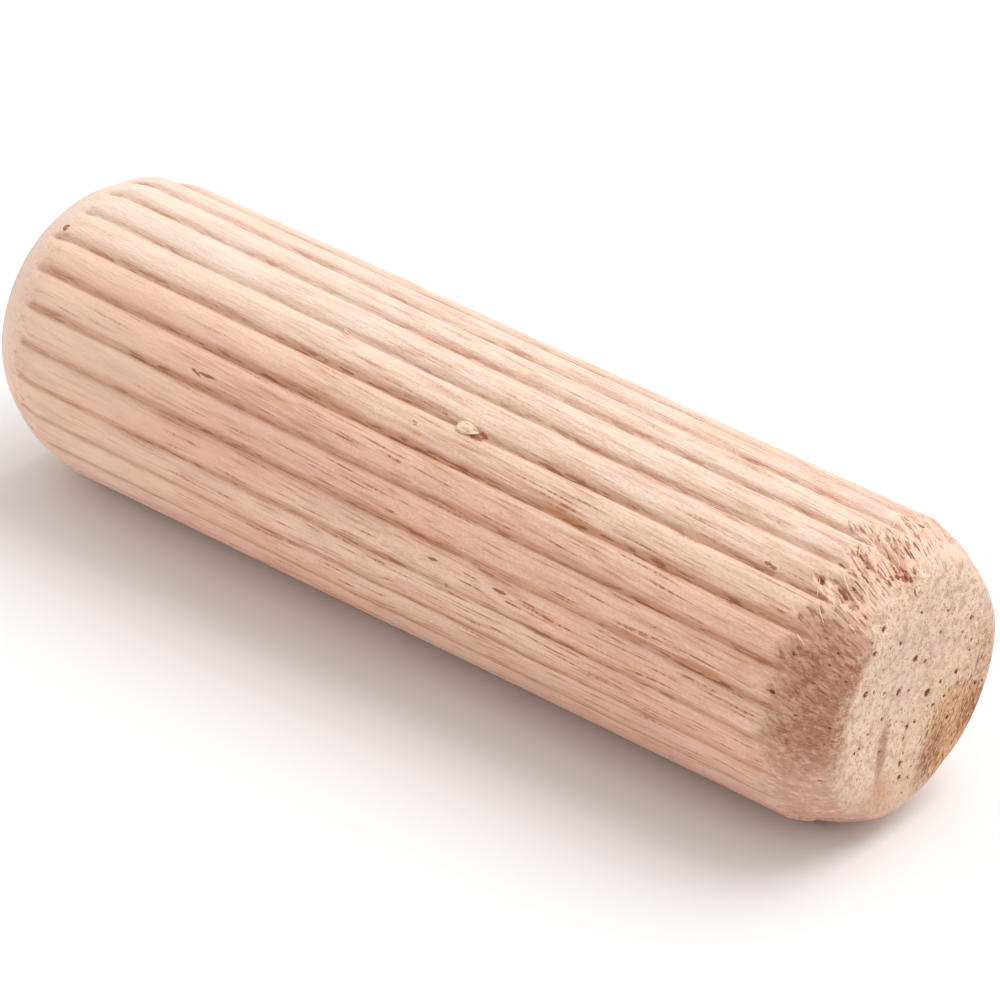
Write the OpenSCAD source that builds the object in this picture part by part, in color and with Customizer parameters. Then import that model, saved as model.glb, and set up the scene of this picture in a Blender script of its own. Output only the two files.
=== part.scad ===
// Fluted wooden dowel pin, lying on its side along X.
// The origin is on the surface it lies on, under the middle of its length.
// The front end points along +X and the back end along -X.

/* [Pin] */
// Diameter over the lands
pin_d = 12; // [10:0.5:16]
// Length between the two end faces
pin_l = 40; // [30:1:80]

/* [Flutes] */
// Number of flutes around the pin
flute_count = 25; // [20:1:28]
// Width of a flute between its two lands
flute_w = 0.84; // [0.6:0.02:0.96]
// Depth of a flute, from the lands to its root
flute_h = 0.24; // [0.16:0.01:0.3]
// Radius of the two rounded walls of a flute
flute_wall_r = 0.65; // [0.6:0.05:1.2]

/* [Front end] */
// Length of the front chamfer along the pin
front_chamfer_l = 2.5; // [1:0.1:5]
// How far the front chamfer goes in from the lands
front_chamfer_h = 1.1; // [0.4:0.1:2.5]
// How far the front chamfer swells out from straight
front_swell = 0.1; // [0.02:0.02:0.3]

/* [Back end] */
// Length of the back chamfer along the pin
back_chamfer_l = 3.6; // [1:0.1:5]
// How far the back chamfer goes in from the lands
back_chamfer_h = 1.4; // [0.4:0.1:2.5]
// How far the back chamfer swells out from straight
back_swell = 0.38; // [0.02:0.02:0.6]

/* [Hidden] */

// How far a cutter reaches past the wood
cutter_spare = 1;
round_fn = 180;
wall_fn = 48;

pin_r = pin_d / 2;
// Angle from the middle of a flute to the edge of its land
land_edge_a = asin(flute_w / 2 / pin_r);
land_edge = pin_r * [cos(land_edge_a), sin(land_edge_a)];
flute_root = [pin_r - flute_h, 0];
// The wall of a flute is an arc from its root to the land's edge, hollow side towards the land
wall_chord = land_edge - flute_root;
wall_inward = [-wall_chord.y, wall_chord.x] / norm(wall_chord);
wall_offset = sqrt(flute_wall_r * flute_wall_r - wall_chord * wall_chord / 4);
wall_centre = (land_edge + flute_root) / 2 + wall_offset * wall_inward;
// Lying down, the pin rests on the edges of two lands with a flute between them
axis_h = land_edge.x;

// What one flute takes away: the gap between two rounded walls, opening outwards along +X
module flute_gap() {
    outer = wall_centre * (pin_r + cutter_spare) / norm(wall_centre);
    difference() {
        polygon([wall_centre, outer, [outer.x, -outer.y], [wall_centre.x, -wall_centre.y]]);
        for (side = [-1, 1])
            translate([wall_centre.x, side * wall_centre.y])
                circle(r = flute_wall_r, $fn = wall_fn);
    }
}

// Section across the pin
module fluted_section() {
    difference() {
        circle(r = pin_r, $fn = round_fn);
        for (i = [0 : flute_count - 1])
            rotate(i * 360 / flute_count)
                flute_gap();
    }
}

// What turning one end takes away: all that lies outside an arc from the face's edge to the lands.
// The face is at z = 0 and the pin runs up from it.
module end_cutter(chamfer_l, chamfer_h, swell) {
    chord = norm([chamfer_l, chamfer_h]);
    arc_r = (chord * chord / 4 + swell * swell) / (2 * swell);
    outward = [chamfer_l, -chamfer_h] / chord;
    arc_centre = [pin_r - chamfer_h / 2, chamfer_l / 2] - (arc_r - swell) * outward;
    inner_r = max(0, arc_centre.x);
    rotate_extrude($fn = round_fn)
        difference() {
            translate([inner_r, -cutter_spare])
                square([pin_r + cutter_spare - inner_r, arc_centre.y + cutter_spare]);
            translate(arc_centre)
                circle(r = arc_r, $fn = round_fn);
        }
}

module dowel_pin() {
    color([0.86, 0.69, 0.59])
        translate([-pin_l / 2, 0, axis_h])
            rotate([0, 90, 0])
                difference() {
                    linear_extrude(pin_l)
                        fluted_section();
                    end_cutter(back_chamfer_l, back_chamfer_h, back_swell);
                    translate([0, 0, pin_l])
                        mirror([0, 0, 1])
                            end_cutter(front_chamfer_l, front_chamfer_h, front_swell);
                }
}

dowel_pin();
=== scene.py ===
"""A fluted dowel pin of pale hardwood, lying on its side on a plain table.

Lengths inside the shape functions are in millimetres along the pin (x) and out from its axis (r).
Angles round the pin are in degrees from straight down, growing towards +Y.
"""

import math

import bmesh
import bpy
import numpy as np
from mathutils import Euler, Matrix, Vector


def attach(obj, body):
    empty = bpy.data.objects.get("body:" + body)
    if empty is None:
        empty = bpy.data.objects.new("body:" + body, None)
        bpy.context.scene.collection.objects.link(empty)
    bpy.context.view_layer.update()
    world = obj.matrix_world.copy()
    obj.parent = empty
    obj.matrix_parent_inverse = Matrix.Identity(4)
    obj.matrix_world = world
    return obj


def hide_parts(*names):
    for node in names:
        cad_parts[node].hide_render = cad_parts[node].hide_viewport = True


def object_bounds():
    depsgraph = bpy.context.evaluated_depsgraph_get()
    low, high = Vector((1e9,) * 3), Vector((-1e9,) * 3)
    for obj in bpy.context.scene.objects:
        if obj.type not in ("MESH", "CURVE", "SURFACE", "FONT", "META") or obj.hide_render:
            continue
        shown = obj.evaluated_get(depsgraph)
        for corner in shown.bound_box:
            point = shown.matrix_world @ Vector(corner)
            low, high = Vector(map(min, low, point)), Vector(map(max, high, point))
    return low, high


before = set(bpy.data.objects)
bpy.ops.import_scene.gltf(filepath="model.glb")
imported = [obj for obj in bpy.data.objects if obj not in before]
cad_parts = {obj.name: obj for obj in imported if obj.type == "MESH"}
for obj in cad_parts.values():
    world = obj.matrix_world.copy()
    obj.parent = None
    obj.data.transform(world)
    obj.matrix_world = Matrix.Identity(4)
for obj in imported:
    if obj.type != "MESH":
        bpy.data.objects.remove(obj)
cad_low, cad_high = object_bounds()

MM = .001

# ---------------- the pin's own sizes, in mm
PIN_R = 6
PIN_HALF = 20
FLUTES = 25
FLUTE_STEP = 360 / FLUTES
FLUTE_W = .84
FLUTE_DEEP = .24
FLUTE_WALL_R = .65
FLUTE_LEAN = .09  # degrees round for each mm along
LAND_CROWN = .035
FRONT_LONG, FRONT_IN, FRONT_SWELL = 2.5, 1.1, .1
BACK_LONG, BACK_IN, BACK_SWELL = 3.6, 1.4, .38
FACE_DOME = .05
LIP_X = PIN_HALF - FRONT_LONG
AXIS_H = math.sqrt(PIN_R ** 2 - (FLUTE_W / 2) ** 2)

# How round the corners are worn: at the back, and at the front where it is sharp and where round
BACK_BLUR, SHARP_BLUR, ROUND_BLUR = .2, .18, .5

# The radii at which angles become mm on the skin and on the torn chamfer, and how far the torn fibres turn
# round the pin, in mm for each mm along
SKIN_R = 5.5
TEAR_R = 5.4
TEAR_SLANT = .28

# Points: their step along the profile, how many lie on a face, how many a ring has, and the cells along a
# side of the front's and the back's grid
PROFILE_STEP = .01
FACE_POINTS = round(PIN_R / PROFILE_STEP)
ROUND = 600
FACE_N = ROUND // 4
BACK_N = FACE_N // 2
BACK_SHRINK = .97

# Cells of the pattern of fibre bundles, which closes on itself after a whole number of them
BUNDLE_CELLS = 97


def placed(name, data):
    """A new object of the scene."""
    thing = bpy.data.objects.new(name, data)
    bpy.context.scene.collection.objects.link(thing)
    return thing


# ---------------- the camera
FRAME_PX = 1000
LENS_PX = 6749.4
PIN_MID_PX = (481.8, 490)
CAMERA_AWAY = 251.55
SENSOR = 36
AXIS_SLANT = math.radians(25.15)
AXIS_TURN = math.radians(59.27)
TOP_TURN = math.radians(53.5)


def camera_axes():
    """The camera's right, down and away in the pin's axes: the pin's own three directions as the camera sees
    them, and their table read the other way."""
    rise, level = math.sin(AXIS_SLANT), math.cos(AXIS_SLANT)
    across, toward = math.sin(AXIS_TURN), math.cos(AXIS_TURN)
    along = np.array([level * across, rise * across, -toward])
    facing = np.array([-level * toward, -rise * toward, -across])
    over = np.array([rise, -level, 0])
    up = math.cos(TOP_TURN) * facing + math.sin(TOP_TURN) * over
    return np.stack([along, np.cross(up, along), up], 1)


def add_camera():
    """The camera, placed so that the pin's middle falls where PIN_MID_PX says."""
    right, down, away = camera_axes()
    shift = [(p - FRAME_PX / 2) / LENS_PX for p in PIN_MID_PX]
    middle = np.array([0, 0, AXIS_H])
    place = middle - CAMERA_AWAY * (shift[0] * right + shift[1] * down + away)
    data = bpy.data.cameras.new("camera")
    data.sensor_width = SENSOR
    data.sensor_fit = "HORIZONTAL"
    data.lens = SENSOR * LENS_PX / FRAME_PX
    data.clip_start = .01
    data.clip_end = 20
    camera = placed("camera", data)
    turn = Matrix(np.stack([right, -down, -away], 1)).to_4x4()
    camera.matrix_world = Matrix.Translation(Vector(place * MM)) @ turn
    bpy.context.scene.camera = camera


# ---------------- random relief
def smooth(t):
    """Smooth step from 0 to 1: t squared times (3 minus twice t), with t held between 0 and 1."""
    t = np.clip(t, 0, 1)
    return t * t * (3 - 2 * t)


def window(t, start, rise, stop, fall):
    """A smooth step up from start over the rise, times a smooth step down from stop over the fall."""
    return smooth((t - start) / rise) * (1 - smooth((t - stop) / fall))


def rolling(along, turn, pitch, around, seed):
    """Random numbers from -1 to 1 on a grid, a row every pitch mm and `around` columns to the full turn,
    blended between neighbours by the smooth step. It closes on itself round the pin."""
    u = (along - along.min()) / pitch
    v = turn / 360 * around
    rows = int(np.ceil(u.max())) + 3
    table = np.random.default_rng(seed).uniform(-1, 1, (rows, around))
    i, j = np.floor(u).astype(int), np.floor(v).astype(int)
    fu, fv = smooth(u - i), smooth(v - j)
    top, low = (
        table[row, j % around] * (1 - fv) + table[row, (j + 1) % around] * fv for row in (i, i + 1)
    )
    return top * (1 - fu) + low * fu


def bundles(u, v, seed):
    """Bundles of fibres seen end on: every cell of a square grid holds one off-centre bundle, and a point
    takes the random height (0 to 1) of the nearest."""
    rng = np.random.default_rng(seed)
    off = rng.uniform(.1, .9, (BUNDLE_CELLS, BUNDLE_CELLS, 2))
    height = rng.uniform(0, 1, (BUNDLE_CELLS, BUNDLE_CELLS))
    iu, iv = np.floor(u).astype(int), np.floor(v).astype(int)
    near, value = np.full(u.shape, 9.0), np.zeros(u.shape)
    for du in (-1, 0, 1):
        for dv in (-1, 0, 1):
            a, b = (iu + du) % BUNDLE_CELLS, (iv + dv) % BUNDLE_CELLS
            d = np.hypot(iu + du + off[a, b, 0] - u, iv + dv + off[a, b, 1] - v)
            value = np.where(d < near, height[a, b], value)
            near = np.minimum(near, d)
    return value


# ---------------- the pin's form
def end_arc(long, inward, swell):
    """Points of an arc from the face's edge (0, PIN_R - inward) to the lands (long, PIN_R) that stands
    `swell` out from the straight chord: distance from the face, and radius."""
    chord = math.hypot(long, inward)
    radius = (chord * chord / 4 + swell * swell) / (2 * swell)
    mid = np.array([long / 2, PIN_R - inward / 2])
    out = np.array([-inward, long]) / chord
    centre = mid - (radius - swell) * out
    half = math.asin(chord / 2 / radius)
    lean = math.atan2(out[1], out[0])
    turn = np.linspace(lean + half, lean - half, 60)
    return centre[0] + radius * np.cos(turn), centre[1] + radius * np.sin(turn)


def pin_profile(front_blur):
    """The pin's outline: the straight back face from its middle, its arc, the lands, the front's arc and the
    front face, a shallow parabola, to its middle. Evenly spaced, with the corners worn round by a running
    average with bell-shaped weights. Gives the way along it, x and the radius."""
    rim_r = PIN_R - FRONT_IN
    back_x, back_r = end_arc(BACK_LONG, BACK_IN, BACK_SWELL)
    front_x, front_r = end_arc(FRONT_LONG, FRONT_IN, FRONT_SWELL)
    front_x = FACE_DOME + front_x * (1 - FACE_DOME / FRONT_LONG)
    face_r = np.linspace(rim_r, 0, 30)[1:]
    face_x = PIN_HALF - FACE_DOME * (face_r / rim_r) ** 2
    x = np.concatenate([[-PIN_HALF], -PIN_HALF + back_x, PIN_HALF - front_x[::-1], face_x])
    r = np.concatenate([[0], back_r, front_r[::-1], face_r])
    way = np.concatenate([[0], np.cumsum(np.hypot(np.diff(x), np.diff(r)))])
    even = np.arange(0, way[-1], PROFILE_STEP)
    x, r = np.interp(even, way, x), np.interp(even, way, r)
    worn = []
    for blur in (BACK_BLUR, front_blur):
        reach = int(3 * blur / PROFILE_STEP)
        weight = np.exp(-.5 * (np.arange(-reach, reach + 1) * PROFILE_STEP / blur) ** 2)
        weight /= weight.sum()
        worn.append([np.convolve(np.pad(line, reach, mode="edge"), weight, "valid") for line in (x, r)])
    share = smooth((x + 10) / 20)
    return even, *(back * (1 - share) + front * share for back, front in zip(*worn))


def worn_reading(share, reading):
    """What is read off the profiles with a sharp and with a round front rim, mixed by the share of the round
    one."""
    sharp, rounded = (reading(*pin_profile(blur)) for blur in (SHARP_BLUR, ROUND_BLUR))
    return (1 - share) * sharp + share * rounded


def flute_shape(turn):
    """How deep the wood lies under the lands at an angle (degrees) from a flute's middle: the ray from the
    pin's axis meets the wall's circle, which starts at the root and ends at the land's edge."""
    edge_a = math.asin(FLUTE_W / 2 / PIN_R)
    edge = np.array([PIN_R * math.cos(edge_a), PIN_R * math.sin(edge_a)])
    root = np.array([PIN_R - FLUTE_DEEP, 0])
    chord = edge - root
    size = math.hypot(*chord)
    inward = np.array([-chord[1], chord[0]]) / size
    centre = (edge + root) / 2 + math.sqrt(FLUTE_WALL_R ** 2 - size ** 2 / 4) * inward
    a = np.minimum(np.abs(turn), math.degrees(edge_a)) * math.pi / 180
    along_ray = centre[0] * np.cos(a) + centre[1] * np.sin(a)
    r = along_ray + np.sqrt(np.maximum(along_ray ** 2 - centre @ centre + FLUTE_WALL_R ** 2, 0))
    return np.where(np.abs(turn) >= math.degrees(edge_a), 0, np.maximum(PIN_R - r, 0))


def disc_grid(n):
    """A square grid of n by n cells bent into a disc: squares round the middle become circles, and the place
    along a square's side becomes the angle. Gives radius (0 to 1) and angle in degrees."""
    side = np.linspace(-1, 1, n + 1)
    a, b = np.meshgrid(side, side, indexing="ij")
    wide = np.abs(a) > np.abs(b)
    radius = np.where(wide, a, b)
    angle = np.where(wide, 45 * b / np.where(a == 0, 1, a), 90 - 45 * a / np.where(b == 0, 1, b))
    angle = np.where((a == 0) & (b == 0), 0, angle)
    angle = np.where(radius < 0, angle + 180, angle) % 360
    return np.abs(radius), angle


def disc_rim(n):
    """The numbers of the grid's outer points in order of their angle, starting at 0 degrees."""
    radius, angle = (table.ravel() for table in disc_grid(n))
    edge = np.flatnonzero(radius == 1)
    return edge[np.argsort(np.round(angle[edge], 6) % 360)]


# Where the rings of points start, change their spacing and end: radius on the back face, x at the back's arc
# and at the torn edge, radius on the front face; and how many rings each part has
BACK_RING_R, BACK_RING_X, FRONT_RING_X, FRONT_RING_R = 4.25, -16.2, 16.75, 4.68
RINGS = (18, 35, 66)


def pin_stations():
    """Where the rings of points lie along the profile: far apart on the lands, close on the ends."""
    way, x, r = pin_profile(SHARP_BLUR)
    back_rim = way[np.argmax(r > BACK_RING_R)]
    back_lands = way[np.argmax(x > BACK_RING_X)]
    front_lip = way[np.argmax(x > FRONT_RING_X)]
    front_rim = way[len(r) - 1 - np.argmax(r[::-1] > FRONT_RING_R)]
    return np.concatenate([
        np.linspace(back_rim, back_lands, RINGS[0], endpoint=False),
        np.linspace(back_lands, front_lip, RINGS[1], endpoint=False),
        np.linspace(front_lip, front_rim, RINGS[2]),
    ])


# How round the front rim is worn (0 sharp, 1 round): angle, share
RIM_ROUND = np.array([
    (0, .35), (20, .25), (40, .1), (104, .1), (130, .8), (150, 1), (200, 1), (215, .8), (228, .15), (268, .1),
    (285, .4), (360, .35),
])

# How far up the front chamfer the tearing reaches and how strong it is: angle, x in mm, strength
TEAR_PLACES = np.array([
    (0, 18.7, .45), (40, 18.9, .55), (80, 18.7, .5), (120, 18.5, .45), (150, 18.9, .6), (165, 19.4, .85),
    (176, 19.7, 1), (188, 19.9, 1), (205, 20.6, 1), (222, 20.6, .9), (234, 20.6, .6), (262, 20.6, .5),
    (272, 19.4, .4), (285, 18.6, .22), (330, 18.5, .25), (360, 18.7, .45),
])

# Worn places of the front end: angle, half width in degrees, how far the edge is worn in, in mm
RIM_WEAR = [
    (74, 32, -.2), (31, 6, .09), (128, 15, .08), (350, 12, -.05), (330, 7, .2),
]

# The back end stands out or is worn in: angle, half width in degrees, mm outwards
BACK_FORM = [
    (226, 24, .15), (181, 7, .04), (161, 4, .12), (149, 7, -.06), (300, 15, -.08),
]

# Where the flutes run out at the back: angle round the pin and mm from the middle
FLUTE_STOPS = np.array([
    (0, 18.3), (150, 18.4), (182, 18.6), (197, 18.45), (214, 18.95), (229, 18.62), (243, 18.2), (360, 18.3),
])

# Where the lands stop and the torn chamfer starts: angle, x in mm
LIP_PLACES = np.array([
    (0, 17.6), (20, 17.4), (40, 17.7), (60, 17.5), (80, 17.8), (100, 17.5), (125, 17.7), (154.6, 17.5),
    (167, 17.85), (174.8, 17.9), (183, 17.35), (185, 16.9), (188, 17.3), (190, 17.9), (196.7, 17.5),
    (203, 17.95), (207, 18), (210, 17.3), (212.5, 17.35), (216, 17.8), (220.2, 17.85), (224, 17.6),
    (228, 17.55), (232.1, 17.85), (236, 17.6), (238.8, 17.4), (245.6, 17.5), (250, 17.3), (252.6, 17.35),
    (256, 17.7), (259.9, 17.85), (264, 17.6), (267.8, 17.5), (273.1, 17.75), (281.4, 17.7), (293.1, 17.6),
    (310, 17.75), (330, 17.5), (345, 17.7), (360, 17.6),
])

# The larger pores of the front face: y and height over the axis in mm, radius in mm
FACE_PORES = np.array([
    (-2.46, 3.79, .11), (-2.93, 2.96, .11), (-.28, 1.6, .12), (.4, 1.17, .09), (2.57, -.23, .11),
    (-1.32, 2.7, .09), (3.21, 1.78, .11), (1.54, 2.81, .08), (-4.32, 2.39, .1), (-3.22, 1.42, .12),
    (-2.71, 1.27, .08), (-1.14, .56, .12), (-.49, .35, .08), (-2.06, .93, .07), (.78, -.32, .15),
    (1.56, -.2, .08), (1.95, -.98, .08), (2.72, 1.4, .08), (1.18, 2.05, .07), (1.83, 1.55, .07),
    (2.96, 1.08, .08), (3.39, .76, .08), (3.33, .36, .07), (4.1, -1.44, .09), (4.49, -1.49, .07),
    (3.54, -1.14, .07), (.14, -1.26, .08), (-1.46, -.48, .07), (-2, -.15, .09), (-.29, -1.28, .11),
    (1.4, -1.71, .09), (2.4, -2.13, .1), (1.65, -2.13, .08), (-.46, -1.71, .08), (-3.27, -.87, .08),
    (-3.51, -.93, .08), (-1.88, -1.65, .07), (-.47, -2.78, .12), (.29, -3.26, .07), (-.35, -2.36, .07),
    (-.43, -3.4, .1), (.18, -3.68, .08), (-4.5, -1.91, .1), (-.1, -4.24, .07), (.88, -.92, .07),
    (1.22, -1.07, .09), (.58, .5, .06), (-.17, 3.49, .09), (-2.86, -.43, .06), (2.07, -2.41, .08),
    (2.85, -1.47, .08), (3.43, -1.91, .09), (2.74, -1.94, .08), (1.84, -2.91, .08), (2.44, -3.79, .08),
])

# Deep torn pits of the front chamfer: x, angle, length, width, depth, all in mm but the angle
CHAMFER_PITS = np.array([
    (19.52, 189, .2, .19, .14), (19.52, 183.6, .16, .1, .12), (19.28, 187.6, .22, .12, .1),
    (19.15, 190.5, .24, .09, .12), (17.45, 211.5, .22, .12, .16), (17.6, 254.6, .2, .15, .15),
    (18.35, 214, .34, .07, .08), (18, 223, .34, .07, .08), (17.84, 239, .2, .12, .12),
    (18.6, 208, .34, .08, .08), (19, 203, .3, .07, .08), (18.7, 187.5, .4, .08, .08),
    (18.75, 180.5, .36, .08, .08), (19.35, 214.5, .24, .09, .1), (19.2, 232, .22, .09, .08),
    (19.1, 283, .2, .1, .08),
])

# Small pits of the front chamfer's brown part: x and angle; and the length, width, depth and slant of all
BROWN_PITS = np.array([
    (17.88, 239), (18.5, 236.8), (18.59, 243.9), (19.11, 237.6), (19.42, 231.7), (19.51, 240), (19.75, 241.2),
    (19.15, 253.8), (19.31, 259.6), (19.71, 262.1), (19.84, 268.2), (19, 269.6), (18.75, 267.4),
    (18.7, 250.4), (18.15, 245), (18.7, 229.2), (18.4, 272.7), (18.61, 260), (19.2, 248.3), (19.45, 289.1),
])
BROWN_PIT_SIZE = (.16, .085, .09)
BROWN_PIT_SLANT = .1

# Rusty streaks along the flutes' upper walls: x, angle, length, width, share
RUSTY_STREAKS = np.array([
    (-.7, 213.7, 1.5, .19, .9), (4.23, 229.3, 1, .15, .7), (6.73, 202.6, 1.4, .18, 1),
    (7.21, 229.6, 1.3, .16, 1), (2.06, 258.9, 1.4, .17, .9), (14.5, 257.9, 1, .16, .9),
    (12.14, 231.8, 1.1, .16, .9), (16.48, 246.9, .9, .14, .8), (-10, 213, 1.8, .16, .8),
    (-10.36, 243.7, 1.8, .16, .8), (-10.26, 259.9, 1.3, .15, .7), (9.66, 203, 2.2, .17, .8),
    (12.9, 204, 1.7, .15, .7),
])

# Rusty places among the torn fibres, in the same five numbers
RUSTY_TEARS = np.array([
    (19.3, 188.5, .75, .6, .8), (18.3, 204, 1.2, 1.3, .2), (17, 205.5, .9, .8, .35),
])

# Small torn hollows scattered over the chamfer: how many, and the ends of the same five numbers
RANDOM_TEARS = 300
TEAR_ENDS = [(17.4, 19.9), (0, 360), (.2, .45), (.06, .085), (.015, .045)]

# The front end's brown worn part, darkened by painted shade among its torn fibres, and its smooth rose part,
# as windows of the angle
BROWN_ARC = (214, 20, 266, 28)
ROSE_ARC = (260, 14, 335, 30)


def read_round(turn, places, column=1):
    """A table's column at an angle: straight lines between the table's places."""
    return np.interp(turn, places[:, 0], places[:, column])


def round_hills(turn, hills):
    """A sum of smooth hills round the pin: each (angle, half width, height) is a bell curve."""
    total = np.zeros(np.shape(turn))
    for at, half, high in hills:
        gap = (turn - at + 180) % 360 - 180
        total = total + high * np.exp(-.5 * (gap / half) ** 2)
    return total


def fluted_side(x, turn):
    """The fluted side's radius, the place across the flute as a share of the pitch, and how deep it lies
    under the lands. The flutes lean and wander a little, differ in width and depth and are shallow low on the
    front's side, and the lands between them are a little crowned."""
    lean = turn - FLUTE_LEAN * x - .22 * rolling(x, turn, 9.0, 7, 11)
    which = np.round(lean / FLUTE_STEP)
    off = lean - which * FLUTE_STEP
    vary = np.random.default_rng(5).uniform(-1, 1, (FLUTES, 2))[(which % FLUTES).astype(int)]
    wide = 1 + .06 * vary[..., 0] + .05 * rolling(x, turn, 6, FLUTES, 12)
    wide = wide * np.where(off < 0, 1.14, .9 + .2 * smooth((-2 - x) / 12))
    deep = .94 + .07 * vary[..., 1] + .08 * rolling(x, turn, 5, FLUTES, 13)
    deep = deep * (1 - .5 * window(turn, 258, 20, 325, 20))
    deep = deep * (1 - .15 * window(turn, 150, 15, 207, 15))
    crown = LAND_CROWN * np.clip((1 - np.abs(off) / (FLUTE_STEP / 2)) / .44, 0, 1) ** 2
    depth = flute_shape(off / wide) * deep
    return PIN_R - depth - crown, off / FLUTE_STEP, depth


def dents(x, turn, marks, slant, radius=SKIN_R):
    """Long shallow hollows: for each mark (x, angle, length, width, depth) the depth times a bell curve of
    the distance from it, stretched along a line that slants by `slant` mm round for each mm along."""
    total = np.zeros(x.shape)
    for at_x, at_turn, long, wide, deep in marks:
        along = x - at_x
        about = np.radians((turn - at_turn + 180) % 360 - 180) * radius - slant * along
        total = np.maximum(total, deep * np.exp(-2 * ((along / long) ** 2 + (about / wide) ** 2)))
    return total


def random_columns(ends, count, seed):
    """Columns of random numbers, each column between its own two ends."""
    rng = np.random.default_rng(seed)
    return [rng.uniform(low, high, count) for low, high in ends]


def front_cone(x, turn):
    """Radius of the front chamfer at x, read from the worn profile and carried on straight past the lands."""
    start_x, low_r, slope = LIP_X + .4, 4.2, .3

    def cone(_, px, pr):
        on_cone = (px > start_x) & (pr > low_r)
        before = np.linspace(LIP_X - 3, LIP_X + .35, 8)
        cone_x = np.concatenate([before, px[on_cone]])
        cone_r = np.concatenate([pr[on_cone][0] + slope * (start_x - before), pr[on_cone]])
        return np.interp(x, cone_x, cone_r)

    return worn_reading(read_round(turn, RIM_ROUND), cone)


def crease_line(y, z):
    """A shallow crease down the lower left of the front face: a bell curve of the distance from a line, faded
    out at both ends."""
    down = np.clip((-.5 - z) / 3.2, 0, 1)
    middle = -2.05 + .25 * down
    return np.exp(-((y - middle) / .22) ** 2) * smooth((-.2 - z) / .8) * smooth((z + 4.6) / .8)


def face_bowl(y, z):
    """The face falls away a little towards its worn lower right: a smooth slope."""
    return smooth((.75 * y - .66 * z - 2.2) / 3)


def blurred(grid, reach):
    """A grid's running mean over 2 reach + 1 cells both ways; round the pin it closes on itself."""
    count, wide = len(grid), 2 * reach + 1
    rows = sum(np.roll(grid, k, 1) for k in range(-reach, reach + 1))
    rows = np.pad(rows, ((reach, reach), (0, 0)), mode="edge")
    return sum(rows[k:k + count] for k in range(wide)) / wide ** 2


# ---------------- the pin's skin
def on_pin(x, angle, radius):
    """Places in mm from x, the angle round the pin in radians and the distance from its axis."""
    return np.stack([x, radius * np.sin(angle), AXIS_H - radius * np.cos(angle)], -1)


def laid_out(x, angle, along, slant):
    """The skin laid out straight: the way along it, and a tube of radius SKIN_R round it, level with the
    grain (slant 0) or turned back by the slant of the torn fibres (slant 1)."""
    angle = angle - slant * TEAR_SLANT / TEAR_R * (x - LIP_X)
    return np.stack([along, SKIN_R * np.sin(angle), SKIN_R * np.cos(angle)], -1)


def ring_reading(turn, ring):
    """The numbers of a ring of points read at any angle."""
    return np.interp(turn, np.arange(ROUND + 1) * 360 / ROUND, np.append(ring, ring[0]))


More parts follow.
